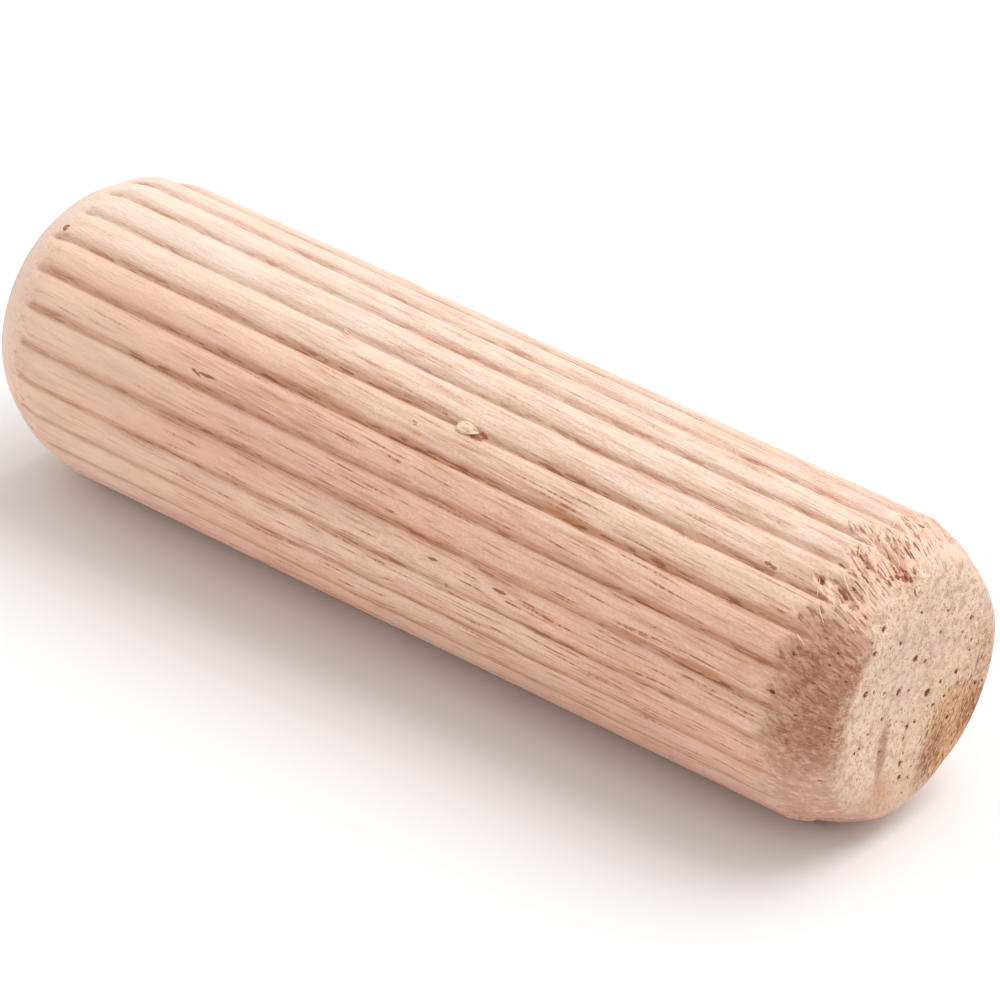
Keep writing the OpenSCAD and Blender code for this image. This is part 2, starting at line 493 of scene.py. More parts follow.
def pin_side(rows):
    """The fluted side and both chamfers, ring by ring: places, and what the wood is like there. The radius is
    the lesser of the fluted side and the worn ends, smoothly joined."""
    S, T = np.meshgrid(rows, np.arange(ROUND) * 360 / ROUND, indexing="ij")
    share = read_round(T, RIM_ROUND)
    X = worn_reading(share, lambda way, x, r: np.interp(S, way, x))
    R0 = worn_reading(share, lambda way, x, r: np.interp(S, way, r))
    R0 = R0 + round_hills(T, BACK_FORM) * smooth((-16.6 - X) / 1.2)
    fluted, phase, depth = fluted_side(X, T)

    # ragged edge of the front chamfer, and how torn it is
    about = T - np.degrees(TEAR_SLANT / TEAR_R) * (X - LIP_X)
    cells_round = about / 360 * (2 * BUNDLE_CELLS)
    strong = read_round(T, TEAR_PLACES, 2)
    ragged = LIP_X + .12 - read_round(T, LIP_PLACES)
    ragged = ragged + .14 * rolling(X, T, 3, 60, 22) + .34 * (bundles(cells_round, X / .5, 21) - .5)
    cone = front_cone(X + ragged * window(X, 16.4, .5, 18.4, 1) * (.3 + .7 * strong), T)
    envelope = np.where((X > LIP_X - 1.5) & (X < 19.3), cone, np.where(X > 0, R0, 99))
    stop = read_round(T, FLUTE_STOPS) + .06 * rolling(X, T, 40, 50, 14)
    run_out = smooth((X + stop) / .3)
    soft = .02 + .33 * window(T, 216, 14, 290, 30)
    both = np.clip(soft - np.abs(fluted - envelope), 0, None)
    meet = np.minimum(fluted, envelope) - both ** 2 / (4 * soft)
    R = np.where(X > 0, meet, np.minimum(fluted + depth, R0) - depth * run_out)
    torn = smooth((fluted - envelope) / .05 + .3) * (X > 0)
    gone = X + .3 * rolling(X, T, .7, 60, 23) - read_round(T, TEAR_PLACES)
    tear = torn * strong * (1 - smooth(gone / .8 + .5))
    frayed = .12 * torn + .88 * tear
    face = smooth((S - (rows[-1] - .27 - .45 * share)) / (.14 + .5 * share) + .5)

    # torn fibres, pits and worn places of the chamfer
    coarse = bundles(cells_round, S / .55, 31)
    fine = bundles(about / 360 * (3 * BUNDLE_CELLS), S / .36, 32)
    small = np.concatenate([BROWN_PITS, np.tile(BROWN_PIT_SIZE, (len(BROWN_PITS), 1))], 1)
    pits = dents(X, T, CHAMFER_PITS, TEAR_SLANT)
    pits = np.maximum(pits, dents(X, T, small, BROWN_PIT_SLANT))
    tears = dents(X, T, np.stack(random_columns(TEAR_ENDS, RANDOM_TEARS, 33), 1), TEAR_SLANT)
    hollow = np.maximum(pits * smooth((X - 17) / .3), tears * tear)
    R = R - frayed * (1 - .8 * face) * (.015 * coarse ** 1.5 + .012 * fine)
    R = R - .8 * hollow * (1 - .65 * face)
    R = R - torn * round_hills(T, RIM_WEAR)

    # what the wood is like there, with painted shade in the torn hollows and in the brown part of the front
    # end
    inside = smooth((fluted - envelope) / .22) * (X > 0)
    # the brown part: brown wood darkened by painted shade, from the torn edge onwards
    browned_and_shaded = .15 * smooth((X - 16.3) / 1) + .35 * smooth((X + .5 * ragged - 17.1) / .5)
    rosy = .2 * smooth((X - 16.5) / .8) + .8 * inside
    streaks = dents(X, T, RUSTY_STREAKS, 0, PIN_R)
    return {
        "x": X, "r": R, "turn": T, "along": S, "phase": phase, "torn": torn, "tear": tear, "face": face,
        "valley": np.where(fluted < envelope, depth * run_out / FLUTE_DEEP, 0),
        "pit": smooth((hollow - .025) / .08),
        "brown_and_shade": window(T, *BROWN_ARC) * (browned_and_shaded + .5 * inside),
        "rose": window(T, *ROSE_ARC) * rosy * (1 - .6 * face),
        "rust": np.maximum(streaks, dents(X, T, RUSTY_TEARS, TEAR_SLANT)),
        # painted shade: the torn surface darker where it lies below its blurred neighbours, paler where it
        # stands above them
        "hollow_shade": .5 + .5 * np.clip((blurred(R, 4) - R) / .035, -1, 1) * frayed,
    }


def pin_front(side):
    """The front face, a fine disc grid whose rim is the side's last ring: the worn profile less the crease,
    the bowl, the pores (bell-shaped holes) and the ends of the fibre bundles."""
    share, T = disc_grid(FACE_N)
    rim_x, rim_r = (ring_reading(T, side[key][-1]) for key in ("x", "r"))
    R = share * rim_r

    def face_x(radius):
        return worn_reading(
            read_round(T, RIM_ROUND),
            lambda way, x, r: np.interp(radius, r[::-1][:FACE_POINTS], x[::-1][:FACE_POINTS]),
        )

    Y, Z = R * np.sin(np.radians(T)), -R * np.cos(np.radians(T))
    holes = np.zeros(R.shape)
    for y, z, size in FACE_PORES:
        holes = np.maximum(holes, size * np.exp(-((Y - y) ** 2 + (Z - z) ** 2) / (.9 * size) ** 2))
    relief = .022 * bundles(Y / .17, Z / .17, 41) + .9 * holes
    relief = relief + .07 * crease_line(Y, Z) + .16 * face_bowl(Y, Z)
    X = face_x(R) + (rim_x - face_x(rim_r)) * share ** 16 - (1 - share ** 14) * relief
    return {
        "x": np.where(share > .999, rim_x, X), "r": R, "turn": T, "along": side["along"][-1, 0] + rim_r - R,
        "phase": .5, "torn": 1, "face": 1, "hollow_shade": .5,
        "pit": smooth(holes / .07),
        # the brown part reaches onto the face's rim: brown wood with painted shade
        "brown_and_shade": window(T, *BROWN_ARC) * smooth((R - rim_r + .62) / .55),
        "rose": .4 * window(T, *ROSE_ARC) * smooth((share - .8) / .2),
    }


def pin_back(side):
    """The back face: a coarser disc grid on the worn profile, drawn in a little from the first ring."""
    share, turn = disc_grid(BACK_N)
    radius = share * ring_reading(turn, side["r"][0])
    _, x, r = pin_profile(SHARP_BLUR)
    x = np.interp(radius, r[:FACE_POINTS], x[:FACE_POINTS])
    return {"x": x, "r": BACK_SHRINK * radius, "turn": turn, "phase": .5}


def cell_faces(index):
    """Four-sided faces between the neighbours of a grid of point numbers."""
    corners = [index[:-1, :-1], index[:-1, 1:], index[1:, 1:], index[1:, :-1]]
    return np.stack(corners, -1).reshape(-1, 4)


def tube_faces(index):
    """The same for rings of points, each ring a row that closes on itself."""
    return cell_faces(np.concatenate([index, index[:, :1]], 1))


def pin_faces(rings):
    """Faces over the points of the side, the front grid and the back grid, in that order. The front grid's
    rim takes the last ring's points. The back grid's rim has half as many as the first ring, and three
    triangles reach over each of its gaps."""
    side = np.arange(rings * ROUND).reshape(rings, ROUND)
    front = side.size + np.arange((FACE_N + 1) ** 2).reshape(FACE_N + 1, -1)
    back = side.size + front.size + np.arange((BACK_N + 1) ** 2).reshape(BACK_N + 1, -1)
    same = np.arange(back.max() + 1)
    same[front.ravel()[disc_rim(FACE_N)]] = side[-1]
    quads = same[np.concatenate([tube_faces(side), cell_faces(front.T), cell_faces(back.T)])]
    a, b, c = side[0, 0::2], side[0, 1::2], np.roll(side[0, 0::2], -1)
    d = back.ravel()[disc_rim(BACK_N)]
    e = np.roll(d, -1)
    return quads, np.concatenate([np.stack(tri, 1) for tri in ((a, d, b), (b, d, e), (b, e, c))])


def build_pin():
    """The whole pin as one closed skin: its points, faces and the numbers that the wood reads."""
    rows = pin_stations()
    side = pin_side(rows)
    parts = (side, pin_front(side), pin_back(side))
    quads, tris = pin_faces(len(rows))
    used = np.unique(np.concatenate([quads.ravel(), tris.ravel()]))
    values = {
        key: np.concatenate([(part.get(key, 0) + 0 * part["x"]).ravel() for part in parts])[used]
        for key in side
    }
    x, r, turn, along, phase = (values.pop(key) for key in ("x", "r", "turn", "along", "phase"))
    angle, across = np.radians(turn), 2 * math.pi * phase
    values["torn_way"] = laid_out(x, angle, along, 1) * MM
    values["skin_way"] = laid_out(x, angle, along, 0) * MM
    values["flute_way"] = np.stack([np.sin(across), np.cos(across), 0 * across], 1)
    verts = np.clip(on_pin(x, angle, r) * MM, np.array(cad_low), np.array(cad_high))
    return verts, np.searchsorted(used, quads), np.searchsorted(used, tris), values


# ---------------- slivers and the loose flake
# Pale slivers at the torn edge: x, angle and mm over the surface at the root and at the tip, and width
SLIVERS = np.array([
    (17.2, 187.6, .01, 16.58, 183.8, .1, .19), (17.98, 177, .02, 17.66, 168, .12, .19),
    (17.35, 187.3, .02, 18.15, 189.2, .06, .17), (17.95, 172, .01, 18.35, 174, .05, .12),
    (17.42, 211.2, .02, 17.75, 218, .06, .12), (17.75, 197.5, .02, 18.55, 201, .06, .12),
    (18, 196.5, .02, 17.75, 192, .08, .11), (18.15, 193.6, -.02, 18.85, 197, .05, .34),
    (17.95, 205.5, .02, 18.6, 210.5, .06, .11), (18.2, 213, .01, 18.95, 219, .04, .1),
    (17.9, 220, .01, 18.45, 225.5, .04, .1), (18.6, 184, .01, 19.2, 188, .05, .12),
    (18.1, 178, .01, 18.8, 181.5, .05, .12), (18.1, 170.5, .01, 18.7, 174.5, .04, .1),
    (17.7, 232, .01, 18.2, 235, .04, .1), (-5.45, 200.4, -.08, -4.7, 203.2, -.03, .12),
])

# More of them, scattered over the chamfer: the ends of their x, angle, length, share of the tears' slant,
# height at the tip, and width
RANDOM_SLIVERS = 24
SLIVER_ENDS = [(17.6, 19.3), (160, 222), (.3, .65), (.6, 1.5), (0, .04), (.08, .13)]


def random_slivers(count, seed):
    """Scattered slivers along the slant of the tears, in the seven numbers of SLIVERS."""
    x, turn, long, slant, tip, wide = random_columns(SLIVER_ENDS, count, seed)
    end_turn = turn + np.degrees(TEAR_SLANT * long / SKIN_R) * slant
    return np.stack([x, turn, np.full(count, -.01), x + long, end_turn, tip, wide], 1)


def closed_tube(rings, sides):
    """Faces of a tube whose points go ring by ring, closed at root and tip on two points that come after
    them."""
    index = np.arange(rings * sides).reshape(rings, sides)
    nxt = np.roll(index, -1, 1)
    root = np.stack([np.full(sides, index.size), nxt[0], index[0]], 1)
    tip = np.stack([np.full(sides, index.size + 1), index[-1], nxt[-1]], 1)
    return tube_faces(index), np.concatenate([root, tip])


def tube_steps(rings, sides):
    """Steps from root to tip, without both ends, and the angles round a ring."""
    steps = np.linspace(0, 1, rings + 2)[1:-1][:, None]
    return steps, np.linspace(0, 2 * math.pi, sides, endpoint=False)[None, :]


def sliver_bodies(marks):
    """Closed tapered slivers: seven rings of six points along a line from root to tip that bows out a little,
    each ring a flat oval sized by the sine of its place."""
    rings, sides = 7, 6
    t, a = tube_steps(rings, sides)
    x0, t0, h0, x1, t1, h1, wide = (marks[:, i][:, None, None] for i in range(7))
    size = wide / 2 * np.sin(math.pi * t) ** .6 * (1.1 - .5 * t)

    def place(way):
        x = x0 + (x1 - x0) * way
        turn = t0 + (t1 - t0) * way
        base = np.minimum(front_cone(x, turn) - .035, PIN_R - .03)
        return x, np.radians(turn), base + h0 + (h1 - h0) * way + .5 * wide * np.sin(math.pi * way)

    x, angle, r = place(t)
    r = np.minimum(r + .55 * size * np.sin(a), PIN_R - .005)
    verts = [on_pin(x + 0 * a, angle + size * np.cos(a) / PIN_R, r).reshape(len(marks), -1, 3)]
    for way in (0, 1):
        x, angle, r = place(np.full_like(x0, way))
        verts.append(on_pin(x, angle, np.minimum(r, PIN_R - .01))[:, :, 0])
    quads, tris = closed_tube(rings, sides)
    start = (np.arange(len(marks)) * (rings * sides + 2))[:, None, None]
    verts = np.concatenate(verts, 1).reshape(-1, 3) * MM
    return verts, (quads + start).reshape(-1, 4), (tris + start).reshape(-1, 3)


# The loose flake: x, angle and distance from the axis of its middle
FLAKE_AT = (1.76, 215.9, 5.94)


def flake_body():
    """A loose chip lodged in a flute: an egg form of 24 rings, blunt at the back, drawn to a point at the
    front and hollowed a little along its middle."""
    rings, sides = 24, 20
    t, a = tube_steps(rings, sides)
    half = .25 * np.sin(math.pi * t ** .62) ** .75
    along = -.5 + 1.04 * t + 0 * a
    over = half * np.cos(a)
    hollow = .03 * np.exp(-(over / .05) ** 2) * (np.sin(a) > 0)
    up = .42 * half * np.sin(a) - hollow + .05 * t
    verts = np.stack([along, over, up], -1).reshape(-1, 3)
    verts = np.concatenate([verts, [[-.51, 0, 0], [.55, 0, .05]]])
    x, turn, radius = FLAKE_AT
    sine, cosine = math.sin(math.radians(turn)), math.cos(math.radians(turn))
    axes = np.array([[1, .02, .02], [0, cosine, sine], [0, sine, -cosine]])
    verts = on_pin(x, math.radians(turn), radius) + verts @ axes
    return verts * MM, *closed_tube(rings, sides)


def make_mesh(name, verts, quads, tris, values):
    """A new piece from points, four-sided and three-sided faces, with a number or three a point for each
    named attribute. All faces are turned outwards."""
    mesh = bpy.data.meshes.new(name)
    mesh.from_pydata(verts, [], quads.tolist() + tris.tolist())
    mesh.validate()
    for key, value in values.items():
        kind, field = ("FLOAT", "value") if value.ndim == 1 else ("FLOAT_VECTOR", "vector")
        data = mesh.attributes.new(key, kind, "POINT").data
        data.foreach_set(field, value.astype(np.float32).ravel())
    work = bmesh.new()
    work.from_mesh(mesh)
    bmesh.ops.recalc_face_normals(work, faces=work.faces)
    work.to_mesh(mesh)
    work.free()
    mesh.polygons.foreach_set("use_smooth", np.ones(len(mesh.polygons), bool))
    mesh.update()
    return placed(name, mesh)


# ---------------- materials
LEVEL = ORIGIN = (0, 0, 0)


def add_node(tree, kind, inputs, out=0, **settings):
    """Adds a shader node with its settings, fills its inputs with numbers, colours or outputs of other nodes,
    and gives one of its own outputs."""
    node = tree.nodes.new("ShaderNode" + kind)
    for name, value in settings.items():
        setattr(node, name, value)
    for key, value in inputs.items():
        if isinstance(value, bpy.types.NodeSocket):
            tree.links.new(value, node.inputs[key])
        else:
            node.inputs[key].default_value = value
    return node.outputs[out]


class Finish:
    """A material, with short calls that add its nodes."""

    def __init__(self, name, roughness, gloss):
        self.material = bpy.data.materials.new(name)
        self.material.use_nodes = True
        self.tree = self.material.node_tree
        self.shader = self.tree.nodes["Principled BSDF"].inputs
        self.shader["Roughness"].default_value = roughness
        self.shader["Specular IOR Level"].default_value = gloss
        self.place = self.add("TexCoord", {}, "Object")
        self.turns = {}

    def add(self, kind, inputs, out=0, **settings):
        return add_node(self.tree, kind, inputs, out, **settings)

    def turned(self, where, turn):
        """The same place turned back by the angles; each turn is made once."""
        if not any(turn):
            return where
        key = (where.node.name, where.name, *turn)
        if key not in self.turns:
            inputs = {"Vector": where, "Rotation": [math.radians(t) for t in turn]}
            self.turns[key] = self.add("Mapping", inputs, vector_type="TEXTURE")
        return self.turns[key]

    def mapped(self, cell, turn=LEVEL, middle=ORIGIN, source=None):
        """Pattern space about `middle` (mm), turned, with one unit for each cell size (mm)."""
        back = Euler([math.radians(t) for t in turn]).to_matrix().transposed() @ Vector(middle)
        where = self.turned(source or self.place, turn)
        scale, shift = [1 / (c * MM) for c in cell], [-b / c for b, c in zip(back, cell)]
        return self.add("VectorMath", {0: where, 1: scale, 2: shift}, operation="MULTIPLY_ADD")

    def noise(self, cell, turn=LEVEL, middle=ORIGIN, source=None, detail=1, rough=.5, bend=0, out=0):
        """Soft random numbers, or with "Color" triples, in patches about a cell in size."""
        inputs = {"Vector": self.mapped(cell, turn, middle, source), "Scale": 1, "Detail": detail}
        return self.add("TexNoise", {**inputs, "Roughness": rough, "Distortion": bend}, out)

    def parts(self, value, kind="XYZ"):
        """The three numbers of a place or a colour."""
        return self.add("Separate" + kind, {0: value}).node.outputs[:3]

    def span(self, value, low, high, to_low=0, to_high=1, soft=True):
        """The value carried from low and high to two others, by a smooth step or straight, and held there
        outside them."""
        inputs = {"Value": value, "From Min": low, "From Max": high, "To Min": to_low, "To Max": to_high}
        return self.add("MapRange", inputs, interpolation_type="SMOOTHSTEP" if soft else "LINEAR")

    def fold(self, kind, *values):
        """All the values put together in order by one kind of sum. Each is a number, an output, or what span
        asks for."""
        total, *others = [self.span(*value) if isinstance(value, tuple) else value for value in values]
        for value in others:
            total = self.add("Math", {0: total, 1: value}, operation=kind)
        return total

    def product(self, *values):
        return self.fold("MULTIPLY", *values)

    def plus(self, *values):
        return self.fold("ADD", *values)

    def most(self, *values):
        return self.fold("MAXIMUM", *values)

    def mix(self, share, first, second):
        return self.add("Mix", {0: share, 2: first, 3: second}, data_type="FLOAT")

    def blend(self, share, *colours):
        """A share of the way from one colour to another."""
        first, second = (c if isinstance(c, bpy.types.NodeSocket) else (*c, 1) for c in colours)
        return self.add("Mix", {0: share, 6: first, 7: second}, 2, data_type="RGBA")

    def value(self, name, out="Fac"):
        """The numbers, or with "Vector" the triples, that the mesh carries under a name."""
        if name not in self.tree.nodes:
            self.add("Attribute", {}, name=name, attribute_name=name)
        return self.tree.nodes[name].outputs[out]

    def spot(self, middle, size, turn=LEVEL, edge=.5, share=1, source=None):
        """The share inside an egg-shaped place and 0 outside it, with a soft edge."""
        where = self.mapped(size, turn, middle, source)
        away = self.add("VectorMath", {0: where}, "Value", operation="LENGTH")
        return self.span(away, 1 - edge, 1 + edge, share, 0)

    def finished(self, colour, height, strength, distance):
        """The material with its colour and with fine relief from a height."""
        bump = {"Strength": strength, "Distance": distance * MM, "Height": height}
        self.tree.links.new(colour, self.shader["Base Color"])
        self.tree.links.new(self.add("Bump", bump), self.shader["Normal"])
        return self.material


class Paint:
    """A colour built up in coats. The product of a coat's shares says how thick it lies."""

    def __init__(self, finish, colour):
        self.finish, self.colour = finish, colour

    def coat(self, tint, *shares):
        self.colour = self.finish.blend(self.finish.product(*shares), self.colour, tint)


CREAM_AND_HIGHLIGHT = (.955, .7, .53)
SAP_TOP_HIGHLIGHT = (.965, .805, .69)
SAP_PALE = (.935, .65, .515)
SAP_MID = (.915, .53, .4)
SAP_ROSE = (.74, .42, .305)
SAP_LILAC = (.81, .52, .44)
STREAK_RUST = (.66, .32, .17)
LINE_RUST = (.44, .18, .085)
STREAK_BROWN = (.47, .165, .07)
MARK_AND_SHADOW_BROWN = (.38, .13, .058)
VALLEY_SHADE = (.56, .275, .165)
FOOT_SHADE = (.34, .13, .06)
LOW_SHADE_ROSE = (.68, .385, .305)
BACK_BAND_LIGHT = (.965, .76, .64)
END_CREAM = (.905, .67, .51)
END_GREY = (.785, .565, .455)
END_ROSE = (.6, .39, .28)
CHAMFER_ROSE = (.61, .35, .27)
CHAMFER_DEEP = (.48, .26, .2)
TORN_TAN = (.7, .41, .27)
TORN_MAUVE = (.47, .21, .138)
TORN_SHADE = (.3, .19, .16)
TORN_PALE = (.93, .665, .53)
END_PALE = (.96, .755, .6)
SLIVER_PALE = (.92, .665, .52)
SLIVER_TAN = (.74, .45, .29)
FLAKE_PALE = (.93, .77, .6)
FLAKE_TAN = (.66, .42, .26)
SLIT_BROWN = (.38, .14, .07)
CUT_BROWN = (.27, .085, .04)
PORE_BROWN = (.2, .065, .035)
PIT_RED = (.24, .07, .032)
PIT_RUST = (.62, .3, .165)
RUST_BASE = (.7, .39, .22)
RUST_PATCH = (.28, .085, .03)
CREASE_SHADE_ROSE = (.53, .28, .2)

GRAIN_TURN = (0, 1.4, -2.1)


def long_grain(f, x, height):
    """Colour of the wood cut along its grain: broad tones, a painted highlight that makes it paler towards
    the top, painted shade that makes it rosier low down, fine streaks, rust lines, and rows of short dark
    vessels that are denser towards the front. The lines lean a little to the flutes, whose upper walls carry
    painted shade in rust brown with brown foot lines of painted shade, and whose pale lower walls carry a
    painted highlight."""
    sine, cosine, _ = f.parts(f.value("flute_way", "Vector"))
    across = f.fold("DIVIDE", f.fold("ARCTAN2", sine, cosine), math.pi)
    valley = f.value("valley")
    near = f.span(x, -14, 8, soft=False)
    tone = f.plus(f.noise((14, 3.2, 3.2), GRAIN_TURN), (height, 6.5, 9.5, .07, -.05))
    wood = Paint(f, SAP_MID)
    wood.coat(SAP_PALE, (tone, .38, .66))
    # painted highlight: the wood paler and creamier with height, palest along the top
    wood.coat(CREAM_AND_HIGHLIGHT, f.span(height, 7.5, 12, 0, .6, soft=False))
    wood.coat(SAP_TOP_HIGHLIGHT, (height, 10, 11.9, 0, .75))
    haze = f.noise((3.4, 1, 1), middle=(3, 5, 1))
    wood.coat(SAP_LILAC, (haze, .44, .66), (height, 10.4, 6.8, .15, .55))
    streak = f.noise((2.4, .22, .22), GRAIN_TURN, rough=.6)
    wood.coat(SAP_ROSE, (streak, .46, .7), (near, 0, .6, .25, .55))
    fleck = f.noise((.17, .08, .08), rough=.8)
    speckle = f.span(near, .1, .7, .1, .45)
    wood.coat(SAP_ROSE, (fleck, .5, .72), speckle)
    wood.coat(CREAM_AND_HIGHLIGHT, (fleck, .5, .28), speckle)

    # rust lines and vessels, most of them in bands; the rust lines also lie on the flutes' upper walls as
    # painted shade
    band = f.span(f.noise((5, .7, .7), GRAIN_TURN, (2, 9, 4)), .42, .64)
    # the flutes' upper walls, where painted shade goes
    edge = f.mix(near, f.span(across, 0, .2, 1, 0), f.span(across, 0, .1, 1, 0))
    under = f.product((across, -.85, -.12), edge)
    rusty = f.most(f.product(band, .8), under)
    rust = f.noise((2.6, .17, .17), GRAIN_TURN, (5, 2, 8), rough=.6)
    calm = f.product((near, 0, .5, .4, 1), (height, 9.5, 11.5, 1, .4))
    line = f.noise((1.8, .08, .08), GRAIN_TURN, (1, 3, 6))
    wood.coat(LINE_RUST, (line, .56, .74), (rusty, 0, .6, .3, 1), calm, .5)
    bead = f.noise((.26, .3, .3), GRAIN_TURN, (7, 7, 7), rough=.8)
    vessel = f.noise((2.4, .1, .1), GRAIN_TURN, (4, 8, 2), detail=0)
    vessel = f.plus(vessel, f.plus(f.product(band, .05), f.span(near, 0, 1, -.07, -.02, soft=False)))
    wood.coat(STREAK_RUST, (vessel, .53, .7, 0, .55), calm)
    wood.coat(MARK_AND_SHADOW_BROWN, (vessel, .67, .76), (bead, .4, .56, .1, 1), calm, .85)
    # painted shade: rosier and darker low on the pin, more of it towards the front
    wood.coat(LOW_SHADE_ROSE, (height, 6, 2.5), (near, .3, 1, 0, .5))

    # painted shade in rust brown on the flutes' upper walls, a painted highlight on their pale lower
    # shoulders, and brown foot lines of painted shade in their creases
    # painted shade: brown on the upper walls, strongest near the valley and in the bands, less at the far end
    # and along the top
    deep = f.product(under, (valley, 0, .3), f.plus(f.product(band, .3), .5))
    shown = f.product((near, 0, .5, .85, 1), (height, 10, 11.6, 1, .5))
    wood.coat(VALLEY_SHADE, deep, shown)
    # rust streaks in the bands, and painted shade in rust on the flutes' upper walls
    wood.coat(STREAK_RUST, (rust, .44, .64), rusty, calm, .6)
    high = f.span(height, 5.5, 10)
    # painted highlight: cream on the flutes' lower walls, which face up, a little more of it higher up
    wood.coat(CREAM_AND_HIGHLIGHT, (across, .02, .12), (across, .75, .25), (high, 0, 1, .1, .16))
    # painted shade: broken brown lines in the flutes' creases, on the side of the upper walls
    foot = f.product((across, -.42, -.14), (across, 0, .06, 1, 0), (valley, .1, .5))
    worn = f.noise((.9, .13, .13), GRAIN_TURN, (2, 2, 5), rough=.6)
    wood.coat(FOOT_SHADE, foot, (worn, .47, .6), f.plus(f.product(band, .6), .35), shown)
    return wood


def end_grain(f, speck, height):
    """Colour of the wood cut across its grain: greyish cream, fine specks that come and go, and open pores in
    cells whose borders sway. Also gives where the pores lie."""
    broad = f.noise((9, 1.2, 1.2), middle=(0, 4, 2), rough=.6)
    wood = Paint(f, END_CREAM)
    wood.coat(END_GREY, (broad, .36, .64, 0, .8))
    blotch = f.noise((.7, .36, .36), middle=(3, 3, 1), rough=.7)
    wood.coat(END_ROSE, (blotch, .5, .66, 0, .7))
    wood.coat(END_PALE, (blotch, .48, .34, 0, .65))
    wood.coat(END_ROSE, (speck, .5, .7), (broad, .38, .6, .85, .4))
    wood.coat(END_PALE, (speck, .48, .3, 0, .6))
    wood.coat(END_GREY, (height, 5, 1.5, 0, .45))
    tiny = f.noise((.4, .11, .11), middle=(1, 5, 3), detail=0)
    wood.coat(LINE_RUST, (tiny, .66, .76, 0, .65))
    sway = f.noise((9, .15, .15), out="Color", detail=0)
    bent = f.add("VectorMath", {0: f.mapped((30, .38, .38), middle=(0, 1, 1)), 1: sway}, operation="ADD")
    gap = f.add("TexVoronoi", {"Vector": bent, "Scale": 1, "Randomness": 1}, "Distance")
    pick, other, _ = f.parts(gap.node.outputs["Color"], "Color")
    size = f.span(pick, .4, 1, 0, .2, soft=False)
    pore = f.span(f.fold("SUBTRACT", gap, size), -.04, .05, 1, 0)
    pore = f.product(pore, (other, 0, 1, .3, .85))
    wood.coat(PORE_BROWN, pore)
    return wood, pore


def torn_grain(f, height, tear, fibre, slit):
    """Colour of the front chamfer: rose wood, and where it is torn pale and tan fibres along the slant of the
    tears, darker with painted shade where the surface lies deep, with thin brown slits between them."""
    mottle = f.noise((.22, .14, .14), source=f.value("torn_way", "Vector"), detail=2, rough=.75)
    level = f.blend(f.span(mottle, .36, .64), SAP_PALE, CHAMFER_ROSE)
    top = f.blend(f.span(mottle, .42, .7, 0, .8), TORN_PALE, SAP_MID)
    level = f.blend(f.span(height, 9.2, 10.6), level, top)
    # painted shade: how deep the torn surface lies, with some noise and more of it low down; it makes the
    # fibres tan and the slits darker
    deep = f.plus(f.value("hollow_shade"), (fibre, .3, .7, -.1, .1))
    deep = f.plus(deep, (height, 9.4, 10.8, .1, -.04))
    strands = Paint(f, TORN_PALE)
    strands.coat(TORN_TAN, (deep, .4, .74, 0, .6))
    strands.coat(TORN_TAN, (mottle, .44, .7, 0, .45))
    strands.coat(TORN_TAN, (height, 10.8, 9.8, 0, .75))
    wood = Paint(f, level)
    wood.coat(strands.colour, (tear, .05, .7))
    thin = f.plus(slit, f.span(deep, .5, .8, 0, .12, soft=False))
    wood.coat(SLIT_BROWN, (thin, .58, .74), (tear, 0, .8, .1, .65))
    return wood


# Small marks on the side: x, angle, half length, half width, whether it slants, how dark; the first two are
# the painted shadow under the loose flake's tip
SIDE_MARKS = [
    (2.2, 217.2, .34, .1, 0, 1), (2.42, 215.3, .18, .09, 1, .9), (-9.92, 238.5, .17, .055, 1, .95),
    (-9.69, 239.4, .13, .05, 1, .75), (-9.33, 238.3, .5, .05, 0, .9), (.5, 214.1, .14, .08, 0, .5),
    (15.33, 214.1, .16, .08, 0, .85), (15.6, 214.8, .22, .05, 0, .6), (-18.5, 209.4, .17, .15, 0, 1),
    (3.13, 272.8, .14, .1, 0, .85), (-.27, 222.2, .13, .08, 1, .75), (2.35, 264.5, .3, .06, 0, .85),
    (5.5, 264.6, .28, .07, 0, .9), (6.2, 267.3, .34, .05, 0, .85),
]

# Dark cuts between the torn fibres, in the same six numbers
TORN_CUTS = [
    (18.43, 179, .18, .055, 1, .8), (18.92, 179.3, .25, .055, 1, .9), (18.94, 174.2, .26, .06, 0, .7),
    (18.27, 160.9, .16, .09, 0, .7), (18.01, 195.5, .21, .055, 1, .9), (18.46, 197.7, .11, .055, 0, .9),
    (18.69, 202.4, .2, .055, 1, 1), (19.29, 196.6, .17, .055, 1, .9), (18.88, 194.6, .31, .03, 1, .6),
    (19.41, 202.5, .1, .04, 1, .6), (18.35, 211.6, .23, .075, 1, 1), (17.77, 202.9, .22, .055, 1, .7),
    (18.63, 205.9, .24, .035, 1, .7), (19.34, 191.9, .12, .11, 0, 1), (19.49, 189.9, .15, .14, 0, 1),
    (19.64, 188, .13, .12, 0, 1), (19.52, 183.1, .14, .06, 1, 1), (19.88, 188.3, .16, .07, 0, 1),
    (19.23, 194.5, .12, .08, 0, .8), (19.23, 189.1, .24, .035, 1, .8), (19.24, 187.5, .15, .07, 1, 1),
    (19.42, 187.6, .15, .09, 1, 1), (17.6, 190.1, .4, .05, 0, .8),
]


def skin_marks(f, marks):
    """How dark small marks make the skin: egg-shaped spots on the skin laid out straight, level with the
    grain or slanting with the torn fibres."""
    dark = 0
    for x, turn, long, wide, slant, share in marks:
        along = worn_reading(read_round(turn, RIM_ROUND), lambda way, px, _: np.interp(x, px, way))
        middle = laid_out(x, math.radians(turn), along, slant)
        source = f.value("torn_way" if slant else "skin_way", "Vector")
        dark = f.most(dark, f.spot(middle, (long, wide, wide), share=share, source=source))
    return dark


